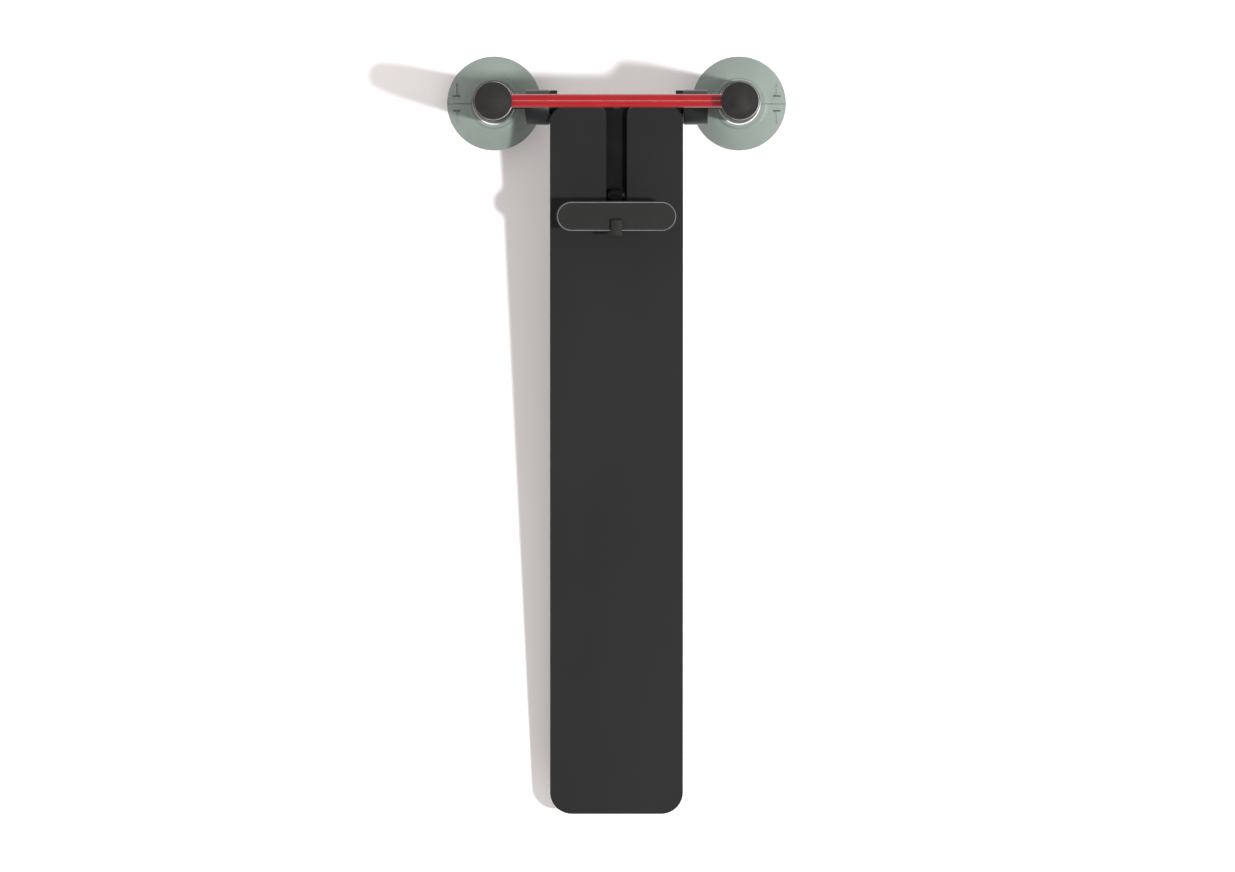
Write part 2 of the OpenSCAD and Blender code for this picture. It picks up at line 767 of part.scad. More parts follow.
// Post: the outer tube of a telescopic leg
module post_tube(s) {
  color([0.1, 0.1, 0.1]) translate([s * post_x, post_y, post_z]) difference() {
    cylinder(h = post_top - post_z, r = post_d / 2);
    translate([0, 0, -1]) cylinder(h = post_top - post_z + 2, r = post_bore_r);
  }
}

// Bright lip rings on the tops of the posts
module post_lips() {
  color([0.8, 0.8, 0.82]) for (s = [-1, 1]) translate([s * post_x, post_y, post_top]) difference() {
    cylinder(h = lip_t, r = post_d / 2 - 1.2);
    translate([0, 0, -1]) cylinder(h = lip_t + 2, r = post_bore_r);
  }
}

// Wheel forks under the posts
module wheel_forks() {
  inner = front_wheel_w / 2 + fork_gap;
  axle = front_wheel_d / 2;
  color([0.1, 0.1, 0.1]) for (s = [-1, 1]) translate([s * post_x, post_y, 0]) difference() {
    union() {
      translate([0, 0, crown_z]) cylinder(h = crown_t, r = post_d / 2);
      translate([0, 0, post_z - 1]) cylinder(h = spigot_h + 1, r = post_bore_r - 0.02);
      for (x = [-inner - cheek_t, inner]) x_prism(x, x + cheek_t) {
        translate([0, axle]) circle(cheek_half);
        translate([-cheek_half, axle]) square([2 * cheek_half, crown_z + 1 - axle]);
      }
    }
    x_rod(-post_d, post_d, bolt_r + 0.02, 0, axle);
  }
}

// Axle bolts with their heads, nuts and spacers
module front_axle_bolts() {
  inner = front_wheel_w / 2 + fork_gap;
  outer = inner + cheek_t;
  head_t = 5;
  axle = front_wheel_d / 2;
  color([0.7, 0.7, 0.72]) for (s = [-1, 1]) translate([s * post_x, post_y, 0]) {
    x_rod(-outer - head_t, outer + head_t, bolt_r, 0, axle);
    for (x = [-outer - head_t, outer])
      translate([x, 0, axle]) rotate([0, 90, 0]) cylinder(h = head_t, r = 6.5, $fn = 6);
    for (x = [-inner, inner - fork_gap + 0.15]) x_rod(x, x + fork_gap - 0.15, bolt_r + 2, 0, axle);
  }
}

// Wheel of the front, with a bearing seat in each side
module front_tyre(s) {
  half = front_wheel_w / 2;
  r = front_wheel_d / 2;
  edge = 6;
  color([0.12, 0.12, 0.12]) translate([s * post_x, post_y, r]) rotate([0, 90, 0]) difference() {
    rotate_extrude() translate([0, -half]) {
      square([r - edge, 2 * half]);
      translate([0, edge]) square([r, 2 * half - 2 * edge]);
      for (y = [edge, 2 * half - edge]) translate([r - edge, y]) circle(edge);
    }
    translate([0, 0, -half - 1]) cylinder(h = 2 * half + 2, r = front_bearing_r - 3);
    for (z = [-half - 1, half - front_bearing_w])
      translate([0, 0, z]) cylinder(h = front_bearing_w + 1, r = front_bearing_r + 0.02);
  }
}

// Pair of ball bearings in a front wheel
module front_bearings(s) {
  half = front_wheel_w / 2;
  axle = front_wheel_d / 2;
  color([0.8, 0.8, 0.82]) translate([s * post_x, post_y, 0])
    for (x = [-half, half - front_bearing_w]) difference() {
      x_rod(x, x + front_bearing_w, front_bearing_r, 0, axle);
      x_rod(x - 1, x + front_bearing_w + 1, bolt_r + run_fit, 0, axle);
    }
}

// Height of a guard's dome at a distance from its post's centre
function dome(r) =
  guard_z - guard_drop * pow((r - guard_lip_r) / (guard_r - guard_lip_r), 1.6);

// A guard's whole dome, with the raised lip round its hole
module guard_shell() {
  steps = 10;
  rise = 2;
  radii = [for (i = [0 : steps]) guard_lip_r + (guard_r - guard_lip_r) * i / steps];
  rotate_extrude() polygon(concat(
    [[guard_hole_r, guard_z - guard_t], [guard_hole_r, guard_z + rise],
     [guard_lip_r - 1, guard_z + rise]],
    [for (r = radii) [r, dome(r)]],
    [for (i = [steps : -1 : 0]) [radii[i], dome(radii[i]) - guard_t]]
  ));
}

// Stiffening rib on the outer part of a guard half: a short bar beside the seam and a leg away from it
module guard_rib() {
  rib_w = 2.5;
  rib_y = 11;
  intersection() {
    translate([0, 0, 2.5]) guard_shell();
    union() {
      translate([guard_r - 21, rib_y, 0]) cube([12, rib_w, guard_z * 2]);
      translate([guard_r - 15.5, rib_y, 0]) cube([rib_w, 23, guard_z * 2]);
    }
  }
}

// Half of a guard, hinged beside the fork: sx is its side and sy is 1 in front, -1 behind
module guard_half(sx, sy) {
  seam = 0.6;
  low = sy > 0 ? guard_knuckle_z + guard_knuckle_h + pass_gap : guard_knuckle_z;
  reach = sy > 0 ? [12, 16] : [2.5, 15];
  color([0.6, 0.66, 0.63, 0.6]) translate([sx * post_x, post_y, 0])
    mirror([sx < 0 ? 1 : 0, 0, 0]) mirror([0, sy < 0 ? 1 : 0, 0]) difference() {
      union() {
        difference() {
          union() {
            guard_shell();
            guard_rib();
          }
          translate([-guard_r - 1, -guard_r - 1, 0])
            cube([2 * guard_r + 2, guard_r + 1 + seam / 2, 3 * guard_z]);
          translate([-pin_r, 0, 0]) cylinder(h = 3 * guard_z, r = relief_r);
        }
        translate([-pin_r, 0, low]) {
          cylinder(h = guard_knuckle_h, r = guard_knuckle_r);
          rotate(atan2(reach[1], reach[0])) translate([0, -3, 0])
            cube([norm(reach), 6, guard_knuckle_h]);
        }
      }
      translate([-pin_r, 0, 0]) cylinder(h = 3 * guard_z, r = guard_pin_d / 2 + run_fit);
    }
}

// Brackets from the posts to the guards' hinge pins
module guard_brackets() {
  boss_low = guard_knuckle_z + 2 * (guard_knuckle_h + pass_gap);
  color([0.1, 0.1, 0.1]) difference() {
    both_sides() translate([post_x, post_y, 0]) {
      translate([-pin_r, -6, bracket_z]) cube([pin_r, 12, bracket_t]);
      translate([-pin_r, 0, boss_low])
        cylinder(h = bracket_z + bracket_t - boss_low, r = guard_knuckle_r);
    }
    post_cut();
    both_sides() translate([post_x - pin_r, post_y, 0])
      cylinder(h = post_top, r = guard_pin_d / 2 + 0.02);
  }
}

// Hinge pins of the guards, headed below
module guard_pins() {
  head_t = 2;
  low = guard_knuckle_z - pass_gap;
  color([0.7, 0.7, 0.72]) both_sides() translate([post_x - pin_r, post_y, 0]) {
    translate([0, 0, low - head_t]) cylinder(h = head_t, r = guard_pin_d / 2 + 2);
    translate([0, 0, low - head_t])
      cylinder(h = bracket_z + bracket_t - low + head_t, r = guard_pin_d / 2);
  }
}

// Middle tubes, each with a collar that rests on its post's lip
module middle_tubes() {
  color([0.55, 0.55, 0.57]) for (s = [-1, 1]) translate([s * post_x, post_y, 0]) difference() {
    union() {
      translate([0, 0, middle_z]) cylinder(h = middle_top - middle_z, r = middle_r);
      translate([0, 0, middle_top]) cylinder(h = collar_ring_t, r = middle_r + 0.6);
    }
    translate([0, 0, middle_z - 1])
      cylinder(h = middle_top + collar_ring_t - middle_z + 2, r = middle_bore_r);
  }
}

// Inner tubes, fixed in the heads
module inner_tubes() {
  color([0.65, 0.65, 0.67]) for (s = [-1, 1]) translate([s * post_x, post_y, inner_z]) difference() {
    cylinder(h = head_z + 2.4 - inner_z, r = inner_r);
    translate([0, 0, -1]) cylinder(h = head_z + 4 - inner_z, r = inner_r - tube_wall);
  }
}

// Handlebar tube between the heads, bored below for the trigger's stems
module handlebar() {
  color([0.7, 0.19, 0.19]) difference() {
    x_rod(-bar_end, bar_end, bar_d / 2, post_y, bar_z);
    x_rod(-bar_end - 1, bar_end + 1, bar_d / 2 - bar_wall, post_y, bar_z);
    for (s = [-1, 1]) translate([s * stem_x, post_y, bar_z - bar_d]) cylinder(h = bar_d, r = stem_r + 0.3);
  }
}
stem_x = 24;
stem_r = 3;
trigger_travel = 4;
trigger_drop = 7;
trigger_t = 10;

// Height-release trigger under the bar
module release_trigger() {
  top = bar_z - bar_d / 2 - trigger_drop;
  color([0.12, 0.12, 0.12]) {
    translate([0, post_y, top - trigger_t]) linear_extrude(trigger_t) round_rect(76, 12, 5);
    for (s = [-1, 1]) translate([s * stem_x, post_y, top - 1])
      cylinder(h = trigger_drop + bar_wall + 4, r = stem_r);
  }
}

// Head at one end of the bar: it holds the bar and an inner tube, and carries a twist grip
module bar_head(s) {
  color([0.12, 0.12, 0.12]) difference() {
    union() {
      translate([s * post_x, post_y, head_z]) cylinder(h = head_h, r = head_d / 2);
      translate([s * post_x, post_y, head_top - 1]) cylinder(h = spindle_h + 1, r = spindle_r);
    }
    translate([s * post_x, post_y, head_z - 1]) cylinder(h = 3.5, r = inner_r + 0.02);
    x_rod(-bar_end - 0.1, bar_end + 0.1, bar_d / 2 + 0.02, post_y, bar_z);
    if (s < 0) {
      button_rod(19, button_r + 0.3, head_d / 2);
      button_rod(head_d / 2 - 3.5, button_r + 2.5, head_d / 2 + 1);
    }
  }
}
button_r = 5;
button_travel = 2;

// Rod that points rearward out of the left head, between two distances from its centre
module button_rod(y0, r, y1) {
  translate([-post_x, post_y - y0, head_z + head_h / 2]) rotate([90, 0, 0]) cylinder(h = y1 - y0, r = r);
}

// Power button in the rear of the left head
module power_button() {
  color([0.5, 0.5, 0.52]) button_rod(19 + button_travel + 0.5, button_r, head_d / 2 - 1);
}

// Twist grip: a fluted cap with a sloping shoulder and a flat top
module twist_grip(s) {
  shoulder = 6;
  flat_r = 20;
  flutes = 24;
  color([0.16, 0.16, 0.16]) translate([s * post_x, post_y, grip_z]) difference() {
    rotate_extrude() polygon([
      [spindle_r + run_fit, 0], [grip_r - 1, 0], [grip_r, 1], [grip_r, grip_h - shoulder],
      [grip_r - 2, grip_h - shoulder + 2.5], [flat_r, grip_h], [0, grip_h], [0, spindle_h + 1],
      [spindle_r + run_fit, spindle_h + 1]
    ]);
    for (i = [0 : flutes - 1]) rotate(i * 360 / flutes) translate([grip_r + 0.7, 0, 4])
      cylinder(h = grip_h - shoulder - 8, r = 1.6);
  }
}

deck_board();
deck_mat();
spine_beam();
pivot_tube();
battery_case();
battery_pack();
battery_cover();
case_screws();
motor_controller();
charge_socket();
charge_flap();
tail_light();
rear_truck();
rear_axle();
motor_stators();
pedal_bracket();
pedal_pin();
pedal_spring();
pedal_arm();
pedal_plate();
rear_tyre(-1);  // rear_tyre_left
rear_tyre(1);  // rear_tyre_right
rear_motor(-1);  // rear_motor_left
rear_motor(1);  // rear_motor_right
rear_bearings(-1);  // rear_bearings_left
rear_bearings(1);  // rear_bearings_right
yoke_plate();
fold_barrels();
headlight_body();
headlight_lens();
head_bushes();
fold_lock_pin();
steering_shaft();
upper_cross_tube();
lower_cross_tube();
post_tube(-1);  // post_tube_left
post_tube(1);  // post_tube_right
post_lips();
wheel_forks();
front_axle_bolts();
guard_brackets();
guard_pins();
front_tyre(-1);  // front_tyre_left
front_tyre(1);  // front_tyre_right
front_bearings(-1);  // front_bearings_left
front_bearings(1);  // front_bearings_right
guard_half(-1, 1);  // guard_front_left
guard_half(1, 1);  // guard_front_right
guard_half(-1, -1);  // guard_rear_left
guard_half(1, -1);  // guard_rear_right
middle_tubes();
inner_tubes();
handlebar();
bar_head(-1);  // bar_head_left
bar_head(1);  // bar_head_right
twist_grip(-1);  // twist_grip_left
twist_grip(1);  // twist_grip_right
power_button();
release_trigger();
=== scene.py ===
import math

import bpy
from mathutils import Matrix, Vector


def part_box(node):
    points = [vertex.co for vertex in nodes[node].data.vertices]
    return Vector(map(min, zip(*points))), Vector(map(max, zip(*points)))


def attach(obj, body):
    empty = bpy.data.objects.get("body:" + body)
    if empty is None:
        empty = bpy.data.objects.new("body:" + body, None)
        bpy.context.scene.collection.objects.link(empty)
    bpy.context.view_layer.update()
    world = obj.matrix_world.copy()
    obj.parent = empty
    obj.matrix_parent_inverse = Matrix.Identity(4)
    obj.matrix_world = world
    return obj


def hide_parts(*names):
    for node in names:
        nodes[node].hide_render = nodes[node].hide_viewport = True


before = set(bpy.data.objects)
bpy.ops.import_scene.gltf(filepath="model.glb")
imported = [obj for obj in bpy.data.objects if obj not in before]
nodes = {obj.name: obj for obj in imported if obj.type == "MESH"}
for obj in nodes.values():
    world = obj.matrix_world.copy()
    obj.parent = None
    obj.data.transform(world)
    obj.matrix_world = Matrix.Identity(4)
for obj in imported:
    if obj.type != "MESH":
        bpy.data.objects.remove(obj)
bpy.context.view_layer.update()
MM = 0.001

# --- The view from straight above, and a soft bright studio ---------------------------------
# A long lens far overhead looks straight down on the scooter, which stands on a white floor.
# One sun comes from the rider's right, and a pale sky fills the shadows.
CAMERA_HEIGHT = 50.0
LENS_MM = 878
SENSOR_MM = 36
camera_data = bpy.data.cameras.new("overhead_camera")
camera_data.lens = LENS_MM
camera_data.sensor_width = SENSOR_MM
camera_data.clip_start = 1.0
camera_data.clip_end = 2 * CAMERA_HEIGHT
camera = bpy.data.objects.new("overhead_camera", camera_data)
camera.location = (0.0016, -0.0015, CAMERA_HEIGHT)
bpy.context.scene.collection.objects.link(camera)
bpy.context.scene.camera = camera

SUN_TRAVEL = Vector((-0.97, 0.24, -2.614))
sun_data = bpy.data.lights.new("studio_sun", "SUN")
sun_data.energy = 3.15
sun_data.angle = math.radians(3.2)
sun_data.color = (1.0, 0.99, 0.975)
sun = bpy.data.objects.new("studio_sun", sun_data)
sun.rotation_euler = SUN_TRAVEL.to_track_quat("-Z", "Y").to_euler()
bpy.context.scene.collection.objects.link(sun)

# A faint overhead lamp adds only glints, such as the line along the bar.
glint_data = bpy.data.lights.new("overhead_glint", "SUN")
glint_data.energy = 0.28
glint_data.angle = math.radians(9)
glint = bpy.data.objects.new("overhead_glint", glint_data)
glint.visible_diffuse = False
bpy.context.scene.collection.objects.link(glint)

world = bpy.data.worlds.new("studio_sky")
world.use_nodes = True
world.node_tree.nodes["Background"].inputs["Color"].default_value = (1.0, 0.935, 0.92, 1)
world.node_tree.nodes["Background"].inputs["Strength"].default_value = 0.92
bpy.context.scene.world = world
bpy.context.scene.view_settings.view_transform = "Standard"

bpy.ops.object.select_all(action="DESELECT")
bpy.ops.mesh.primitive_plane_add(size=40, location=(0, 0, 0))
floor = bpy.context.object
floor.name = "studio_floor"
floor_paint = bpy.data.materials.new("white_floor")
floor_paint.use_nodes = True
floor_shader = floor_paint.node_tree.nodes["Principled BSDF"]
floor_shader.inputs["Base Color"].default_value = (0.93, 0.93, 0.93, 1)
floor_shader.inputs["Roughness"].default_value = 0.9
floor_shader.inputs["Specular IOR Level"].default_value = 0.1
floor.data.materials.append(floor_paint)


# --- Deck board: one long moulded shell ------------------------------------------------------
# The board is a glass-filled nylon moulding with softened edges, pockets underneath and wells
# over the rear wheels. Its finish is a fine spark-eroded texture that scuffs pale on edges.
def open_edit(piece):
    """piece alone is selected, in edit mode, with none of its mesh selected."""
    bpy.ops.object.select_all(action="DESELECT")
    piece.select_set(True)
    bpy.context.view_layer.objects.active = piece
    bpy.ops.object.mode_set(mode="EDIT")
    bpy.ops.mesh.select_all(action="DESELECT")


def close_edit():
    bpy.ops.object.mode_set(mode="OBJECT")


def soften(piece, width, segments=2, angle=32):
    """Rounds the hard edges of piece and smooths its shading."""
    bpy.ops.object.select_all(action="DESELECT")
    piece.select_set(True)
    bpy.context.view_layer.objects.active = piece
    if width:
        bevel = piece.modifiers.new("edges", "BEVEL")
        bevel.width = width
        bevel.segments = segments
        bevel.limit_method = "ANGLE"
        bevel.angle_limit = math.radians(angle)
        bevel.use_clamp_overlap = True
        bevel.harden_normals = False
        bpy.ops.object.modifier_apply(modifier=bevel.name)
    bpy.ops.object.shade_smooth_by_angle(angle=math.radians(28))


def dressed(node, body, finish, width=0.6 * MM, segments=2, name=None):
    """A finished copy of a CAD node: merged, its edges rounded, painted and riding on body."""
    source = nodes[node]
    bpy.ops.object.select_all(action="DESELECT")
    mesh = source.data.copy()
    piece = bpy.data.objects.new(name or node + "_finished", mesh)
    bpy.context.scene.collection.objects.link(piece)
    open_edit(piece)
    bpy.ops.mesh.select_all(action="SELECT")
    bpy.ops.mesh.remove_doubles(threshold=0.002 * MM)
    bpy.ops.mesh.dissolve_limited(angle_limit=math.radians(0.5))
    close_edit()
    mesh.materials.clear()
    mesh.materials.append(finish)
    soften(piece, width, segments)
    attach(piece, body)
    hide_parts(node)
    return piece


def principled(name, color, roughness, specular=0.5, metallic=0.0):
    """A new node material with its Principled shader set."""
    finish = bpy.data.materials.new(name)
    finish.use_nodes = True
    shader = finish.node_tree.nodes["Principled BSDF"]
    shader.inputs["Base Color"].default_value = (*color, 1)
    shader.inputs["Roughness"].default_value = roughness
    shader.inputs["Specular IOR Level"].default_value = specular
    shader.inputs["Metallic"].default_value = metallic
    return finish, shader


def object_noise(finish, scale, detail=4.0, stretch=(1, 1, 1)):
    """Noise on the piece's own coordinates, scale in cells per metre."""
    tree = finish.node_tree
    place = tree.nodes.new("ShaderNodeTexCoord")
    mapping = tree.nodes.new("ShaderNodeMapping")
    mapping.inputs["Scale"].default_value = stretch
    noise = tree.nodes.new("ShaderNodeTexNoise")
    noise.inputs["Scale"].default_value = scale
    noise.inputs["Detail"].default_value = detail
    tree.links.new(place.outputs["Object"], mapping.inputs["Vector"])
    tree.links.new(mapping.outputs["Vector"], noise.inputs["Vector"])
    return noise


def tint(finish, shader, noise, dark, light, low=0.3, high=0.7):
    """Colour that drifts between dark and light with the noise."""
    tree = finish.node_tree
    ramp = tree.nodes.new("ShaderNodeValToRGB")
    ramp.color_ramp.elements[0].position = low
    ramp.color_ramp.elements[0].color = (*dark, 1)
    ramp.color_ramp.elements[1].position = high
    ramp.color_ramp.elements[1].color = (*light, 1)
    tree.links.new(noise.outputs["Fac"], ramp.inputs["Fac"])
    tree.links.new(ramp.outputs["Color"], shader.inputs["Base Color"])


def vary_roughness(finish, shader, noise, low, high):
    tree = finish.node_tree
    spread = tree.nodes.new("ShaderNodeMapRange")
    spread.inputs["From Min"].default_value = 0.3
    spread.inputs["From Max"].default_value = 0.7
    spread.inputs["To Min"].default_value = low
    spread.inputs["To Max"].default_value = high
    tree.links.new(noise.outputs["Fac"], spread.inputs["Value"])
    tree.links.new(spread.outputs["Result"], shader.inputs["Roughness"])


def relief(finish, shader, noise, strength, depth):
    """Bump from the noise, depth in metres."""
    tree = finish.node_tree
    bump = tree.nodes.new("ShaderNodeBump")
    bump.inputs["Strength"].default_value = strength
    bump.inputs["Distance"].default_value = depth
    tree.links.new(noise.outputs["Fac"], bump.inputs["Height"])
    tree.links.new(bump.outputs["Normal"], shader.inputs["Normal"])


nylon, nylon_shader = principled("textured_nylon", (0.02, 0.02, 0.02), 0.5, 0.35)
nylon_drift = object_noise(nylon, 9, 5)
tint(nylon, nylon_shader, nylon_drift, (0.016, 0.016, 0.016), (0.026, 0.026, 0.025))
vary_roughness(nylon, nylon_shader, nylon_drift, 0.44, 0.62)
relief(nylon, nylon_shader, object_noise(nylon, 1400, 2), 0.25, 0.15 * MM)
dressed("deck_board", "chassis", nylon, 1.4 * MM, 3)

# --- Grip mat: a sheet of rubber bonded to the board -----------------------------------------
# A 3 mm rubber sheet covers the board from edge to edge. Its top is a close grit that looks
# even from a distance, rubbed a little paler where the feet stand.
grip, grip_shader = principled("grit_rubber", (0.017, 0.017, 0.017), 0.9, 0.2)
grip_wear = object_noise(grip, 5, 3, (1.0, 0.5, 1.0))
tint(grip, grip_shader, grip_wear, (0.0118, 0.0124, 0.0126), (0.0147, 0.0154, 0.0155))
relief(grip, grip_shader, object_noise(grip, 900, 3), 0.35, 0.3 * MM)
dressed("deck_mat", "chassis", grip, 0.9 * MM, 3, name="grip_mat")

# --- Chassis steel: spine beam, pivot tube, pedal bracket ------------------------------------
# Welded steel box and tube in a dull black dip coat. The frame parts further on wear a satin
# powder coat with a slight orange peel.
powder, powder_shader = principled("black_powder_coat", (0.012, 0.012, 0.013), 0.5, 0.2)
powder_drift = object_noise(powder, 30, 3)
tint(powder, powder_shader, powder_drift, (0.007, 0.0075, 0.008), (0.012, 0.0125, 0.013))
vary_roughness(powder, powder_shader, powder_drift, 0.4, 0.56)
relief(powder, powder_shader, object_noise(powder, 700, 1), 0.12, 0.12 * MM)
dip_coat, dip_shader = principled("black_dip_coat", (0.005, 0.005, 0.005), 0.75, 0.08)
tint(dip_coat, dip_shader, object_noise(dip_coat, 30, 3), (0.004, 0.004, 0.004),
     (0.007, 0.007, 0.007))
relief(dip_coat, dip_shader, object_noise(dip_coat, 500, 2), 0.2, 0.15 * MM)
dressed("spine_beam", "chassis", dip_coat, 2.0 * MM, 3)
dressed("pivot_tube", "chassis", dip_coat, 0.5 * MM)
dressed("pedal_bracket", "chassis", dip_coat, 0.4 * MM)

# A black washer closes each running gap between a cheek and its barrel. It is thicker than the
# gap, so its outer face sits inside the barrel's end.
WASHER_RADIUS = 27.5 * MM
WASHER_THICKNESS = 1.7 * MM
WASHER_OFFSET = 1.0 * MM
deck_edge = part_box("deck_board")[1].x
hinge_centre = sum(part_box("fold_barrels"), Vector()) / 2
for side in (-1, 1):
    bpy.ops.object.select_all(action="DESELECT")
    bpy.ops.mesh.primitive_cylinder_add(
        vertices=72, radius=WASHER_RADIUS, depth=WASHER_THICKNESS, rotation=(0, math.pi / 2, 0),
        location=(side * (deck_edge + WASHER_OFFSET), hinge_centre.y, hinge_centre.z))
    washer = bpy.context.object
    washer.name = f"hinge_washer_{'left' if side < 0 else 'right'}"
    bpy.ops.object.transform_apply(location=True, rotation=True, scale=True)
    washer.data.materials.append(dip_coat)
    bpy.ops.object.shade_smooth_by_angle(angle=math.radians(28))
    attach(washer, "chassis")

# --- Battery case, its cover and charge socket -----------------------------------------------
# Injection-moulded matte tray hung under the board, closed from below by a screwed cover.
# A rubber flap on the right keeps water out of the charge socket.
case_plastic, case_shader = principled("matte_case_plastic", (0.02, 0.02, 0.021), 0.6, 0.35)
case_drift = object_noise(case_plastic, 14, 4)
tint(case_plastic, case_shader, case_drift, (0.014, 0.014, 0.014), (0.024, 0.024, 0.024))
relief(case_plastic, case_shader, object_noise(case_plastic, 1100, 2), 0.3, 0.2 * MM)
for part in ("battery_case", "battery_cover", "charge_socket"):
    dressed(part, "chassis", case_plastic, 0.7 * MM)
dressed("charge_flap", "charge_flap", grip, 0.4 * MM)

pack_wrap, pack_shader = principled("blue_shrink_wrap", (0.02, 0.07, 0.2), 0.3, 0.5)
relief(pack_wrap, pack_shader, object_noise(pack_wrap, 60, 3), 0.4, 0.6 * MM)
dressed("battery_pack", "chassis", pack_wrap, 1.5 * MM, 3)

# --- Machined and cast metal -----------------------------------------------------------------
# Turned steel shows fine rings of brushing; the truck and motor cans are bead-blasted alloy.
steel, steel_shader = principled("turned_steel", (0.55, 0.55, 0.57), 0.3, 0.5, 1.0)
steel_lines = object_noise(steel, 60, 3, (1, 1, 18))
tint(steel, steel_shader, steel_lines, (0.42, 0.42, 0.44), (0.62, 0.62, 0.64))
vary_roughness(steel, steel_shader, steel_lines, 0.24, 0.4)
for part in ("case_screws", "rear_axle", "pedal_pin", "pedal_spring"):
    dressed(part, "chassis", steel, 0.3 * MM)

cast, cast_shader = principled("blasted_alloy", (0.4, 0.4, 0.42), 0.5, 0.5, 0.9)
cast_grain = object_noise(cast, 45, 5)
tint(cast, cast_shader, cast_grain, (0.3, 0.3, 0.31), (0.44, 0.44, 0.46))
relief(cast, cast_shader, object_noise(cast, 900, 3), 0.3, 0.2 * MM)
dressed("rear_truck", "chassis", cast, 1.2 * MM, 3)
dressed("motor_controller", "chassis", cast, 0.3 * MM)

windings, windings_shader = principled("varnished_windings", (0.5, 0.2, 0.07), 0.35, 0.5, 0.7)
relief(windings, windings_shader, object_noise(windings, 300, 1, (1, 8, 1)), 0.6, 0.4 * MM)
dressed("motor_stators", "chassis", windings, 0)

# --- Tail light ------------------------------------------------------------------------------
# A red moulded lens let into the rear edge of the board.
tail_red, tail_shader = principled("tail_lens_red", (0.35, 0.01, 0.01), 0.15, 0.5)
relief(tail_red, tail_shader, object_noise(tail_red, 500, 0, (1, 0.2, 0.2)), 0.5, 0.4 * MM)
dressed("tail_light", "chassis", tail_red, 0.5 * MM)

# --- Brake pedal: knuckle arm and pill-shaped pad --------------------------------------------
# A forged arm rises from the slot, passes under the pad and hooks over its rear edge. The pad
# is a satin moulding whose raised rim is painted pale all round, a painted highlight where the
# edge catches the light.
pedal_satin, pedal_shader = principled("satin_pedal_black", (0.014, 0.014, 0.014), 0.6, 0.15)
pedal_drift = object_noise(pedal_satin, 22, 4)
tint(pedal_satin, pedal_shader, pedal_drift, (0.0075, 0.0078, 0.0078), (0.011, 0.0114, 0.0112))
relief(pedal_satin, pedal_shader, object_noise(pedal_satin, 1200, 2), 0.25, 0.15 * MM)
pedal_arm = dressed("pedal_arm", "brake_pedal", pedal_satin, 1.6 * MM, 3)

arm_forging, arm_shader = principled("forged_arm_grey", (0.014, 0.014, 0.014), 0.55, 0.12)
tint(arm_forging, arm_shader, object_noise(arm_forging, 60, 3), (0.009, 0.0095, 0.009),
     (0.014, 0.0145, 0.0135))
relief(arm_forging, arm_shader, object_noise(arm_forging, 500, 3), 0.3, 0.2 * MM)
pedal_arm.data.materials.clear()
pedal_arm.data.materials.append(arm_forging)
pedal_arm.data.materials.append(dip_coat)
# The front of the arm, down in the slot at the knuckle, takes the darker dip coat: painted shade of
# the slot.
KNUCKLE_SHADE_REACH = 24 * MM
knuckle_front = max(v.co.y for v in pedal_arm.data.vertices)
for face in pedal_arm.data.polygons:
    if face.center.y > knuckle_front - KNUCKLE_SHADE_REACH:
        face.material_index = 1

RIM_WIDTH = 1.0 * MM
RIM_SLOPE = 0.5 * MM
RIM_STEP = 0.6 * MM
# The rim is painted pale: a painted highlight along the pad's raised edge.
pad_rim_highlight, rim_highlight_shader = principled("painted_rim_highlight", (0.11, 0.11, 0.11), 0.35, 0.5)
tint(pad_rim_highlight, rim_highlight_shader, object_noise(pad_rim_highlight, 40, 3), (0.045, 0.045, 0.045), (0.09, 0.09, 0.09))
pad = dressed("pedal_plate", "brake_pedal", pedal_satin, 0.5 * MM, 2, "pedal_pad")
pad.data.materials.append(pad_rim_highlight)
pad_top = max(v.co.z for v in pad.data.vertices)
open_edit(pad)
close_edit()
for face in pad.data.polygons:
    face.select = face.normal.z > 0.99 and face.center.z > pad_top - 0.2 * MM
bpy.ops.object.mode_set(mode="EDIT")
bpy.ops.mesh.select_mode(type="FACE")
bpy.ops.mesh.dissolve_limited(angle_limit=math.radians(1))
bpy.ops.mesh.inset(thickness=RIM_WIDTH, depth=0)
bpy.ops.mesh.inset(thickness=RIM_SLOPE, depth=-RIM_STEP)
close_edit()
inner_tops = [face for face in pad.data.polygons if face.select]
inner_low = min(v.co.z for face in inner_tops for v in (pad.data.vertices[i] for i in face.vertices))
# The rim's top and slope faces take the pale paint of the painted highlight.
for face in pad.data.polygons:
    if face.normal.z > 0.5 and face.center.z > inner_low + 0.1 * MM and not face.select:
        face.material_index = 1

# --- Rear wheels: urethane tyres on hub-motor cans -------------------------------------------
# Each can turns on two sealed bearings round the fixed axle. The urethane tyre is cast on it
# and carries three shallow grooves.
urethane, urethane_shader = principled("black_urethane", (0.018, 0.018, 0.018), 0.55, 0.4)
urethane_scuff = object_noise(urethane, 35, 5)
tint(urethane, urethane_shader, urethane_scuff, (0.012, 0.012, 0.012), (0.03, 0.029, 0.028))
vary_roughness(urethane, urethane_shader, urethane_scuff, 0.45, 0.75)
GROOVES = 3
GROOVE_PITCH = 10 * MM
GROOVE_DEPTH = 1.2 * MM
GROOVE_WIDTH = 2.4 * MM
TYRE_THICKNESS = 8 * MM
SHOULDER_RADIUS = 4 * MM
SHOULDER_STEPS = 4


